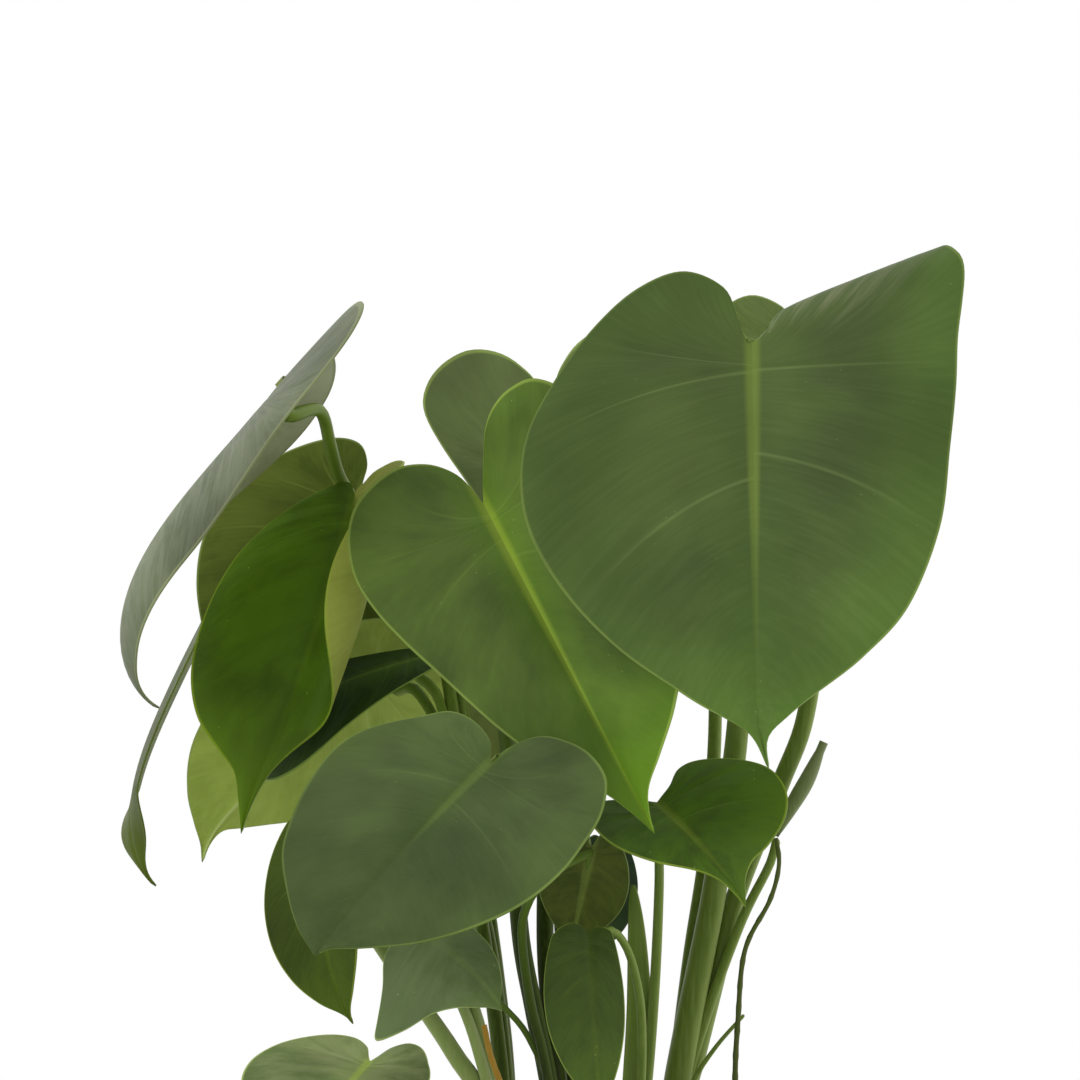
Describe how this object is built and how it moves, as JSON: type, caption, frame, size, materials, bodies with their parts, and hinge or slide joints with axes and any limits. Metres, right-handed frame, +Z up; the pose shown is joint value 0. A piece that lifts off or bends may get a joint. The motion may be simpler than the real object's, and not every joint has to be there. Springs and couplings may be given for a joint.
{
  "type": "potted plant",
  "caption": "Young swiss cheese plant with whole heart-shaped leaves on long stalks, in a plain tapered pot with soil and drain holes.",
  "frame": {"origin": "centre of the pot's underside, on the surface that it stands on", "axes": "+Z up, along the pot's axis; the picture's camera stands at -Y with +X to its right"},
  "size_m": [0.2748, 0.2182, 0.4169],
  "materials": {
    "leaf": "satin",
    "stem": "satin",
    "young_leaf": "satin",
    "root": "matte",
    "dry_stalk": "matte",
    "soil": "matte",
    "terracotta": "matte"
  },
  "bodies": {
    "root": {"leaf_big_right": "leaf", "leaf_behind_big": "leaf", "leaf_centre": "leaf", "leaf_low_front": "leaf", "leaf_back_centre": "leaf", "leaf_far_left": "leaf", "leaf_left_back": "leaf", "leaf_left_curled": "leaf", "leaf_left_edge_on": "leaf", "leaf_small_right": "leaf", "leaf_low_pale": "leaf", "leaf_middle_dark": "leaf", "leaf_left_hanging": "leaf", "leaf_low_grey": "leaf", "leaf_bottom_left": "leaf", "leaf_front_narrow": "leaf", "leaf_young_brown": "leaf", "leaf_young_dark": "leaf", "leaf_rear_high": "leaf", "leaf_rear_low": "leaf", "stems_left": "stem", "stems_back_left": "stem", "stems_middle": "stem", "stems_front": "stem", "stems_right": "stem", "rolled_leaf": "young_leaf", "aerial_root": "root", "dry_stalk": "dry_stalk", "soil": "soil", "pot": "terracotta"}
  },
  "joints": []
}
